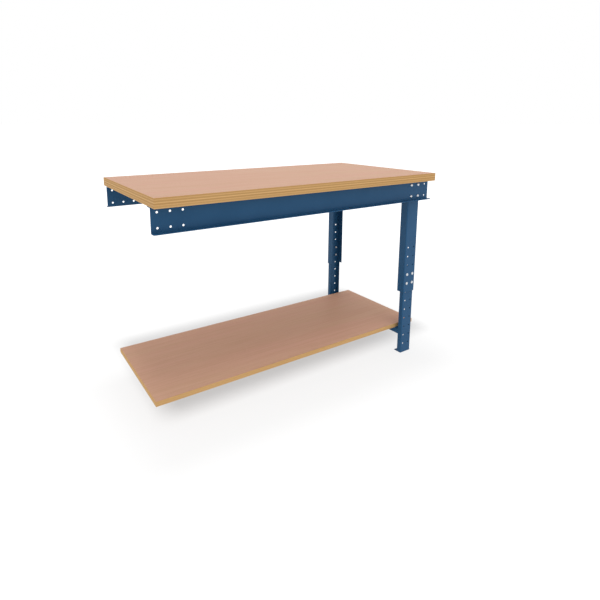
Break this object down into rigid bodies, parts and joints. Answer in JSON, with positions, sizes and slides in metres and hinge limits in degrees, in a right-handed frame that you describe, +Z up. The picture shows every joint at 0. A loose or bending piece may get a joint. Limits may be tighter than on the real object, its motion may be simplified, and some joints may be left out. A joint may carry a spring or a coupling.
{
  "type": "assembly table",
  "caption": "Add-on section of an assembly table: beech worktop on steel side rails, telescopic height-adjustable legs at its right end and a lower shelf.",
  "frame": {"origin": "on the floor under the middle of the worktop", "axes": "+X along the table towards the end with the legs, +Y to the back, +Z up"},
  "size_m": [1.5, 0.75, 1],
  "materials": {
    "beech_multiplex": "oiled beech multiplex board, fine straight grain along the length, glued layers showing on the edges",
    "blue_steel": "bent sheet steel, satin blue powder coat",
    "zinc_steel": "bright zinc-plated fasteners"
  },
  "bodies": {
    "lower_frame": {"front_inner_leg": "blue_steel", "front_foot_plate": "blue_steel", "rear_inner_leg": "blue_steel", "rear_foot_plate": "blue_steel", "shelf_bearer": "blue_steel", "lower_shelf": "beech_multiplex", "shelf_screw_1": "zinc_steel", "shelf_screw_2": "zinc_steel", "shelf_screw_3": "zinc_steel", "shelf_screw_4": "zinc_steel"},
    "upper_frame": {"worktop": "beech_multiplex", "head_tie": "blue_steel", "front_rail": "blue_steel", "front_outer_leg": "blue_steel", "rear_rail": "blue_steel", "rear_outer_leg": "blue_steel", "front_rail_bolt_1": "zinc_steel", "front_rail_bolt_2": "zinc_steel", "front_rail_bolt_3": "zinc_steel", "front_rail_bolt_4": "zinc_steel", "front_rail_nut_1": "zinc_steel", "front_rail_nut_2": "zinc_steel", "front_rail_nut_3": "zinc_steel", "front_rail_nut_4": "zinc_steel", "front_height_bolt_1": "zinc_steel", "front_height_bolt_2": "zinc_steel", "front_height_bolt_3": "zinc_steel", "front_height_bolt_4": "zinc_steel", "front_height_nut_1": "zinc_steel", "front_height_nut_2": "zinc_steel", "front_height_nut_3": "zinc_steel", "front_height_nut_4": "zinc_steel", "rear_rail_bolt_1": "zinc_steel", "rear_rail_bolt_2": "zinc_steel", "rear_rail_bolt_3": "zinc_steel", "rear_rail_bolt_4": "zinc_steel", "rear_rail_nut_1": "zinc_steel", "rear_rail_nut_2": "zinc_steel", "rear_rail_nut_3": "zinc_steel", "rear_rail_nut_4": "zinc_steel", "rear_height_bolt_1": "zinc_steel", "rear_height_bolt_2": "zinc_steel", "rear_height_bolt_3": "zinc_steel", "rear_height_bolt_4": "zinc_steel", "rear_height_nut_1": "zinc_steel", "rear_height_nut_2": "zinc_steel", "rear_height_nut_3": "zinc_steel", "rear_height_nut_4": "zinc_steel", "front_top_screw_1": "zinc_steel", "front_top_screw_2": "zinc_steel", "front_top_screw_3": "zinc_steel", "front_top_screw_4": "zinc_steel", "rear_top_screw_1": "zinc_steel", "rear_top_screw_2": "zinc_steel", "rear_top_screw_3": "zinc_steel", "rear_top_screw_4": "zinc_steel"}
  },
  "joints": [
    {"name": "height_slide", "type": "slide", "parent": "lower_frame", "child": "upper_frame", "axis": [0, 0, 1], "range_m": [-0.3, 0]}
  ]
}
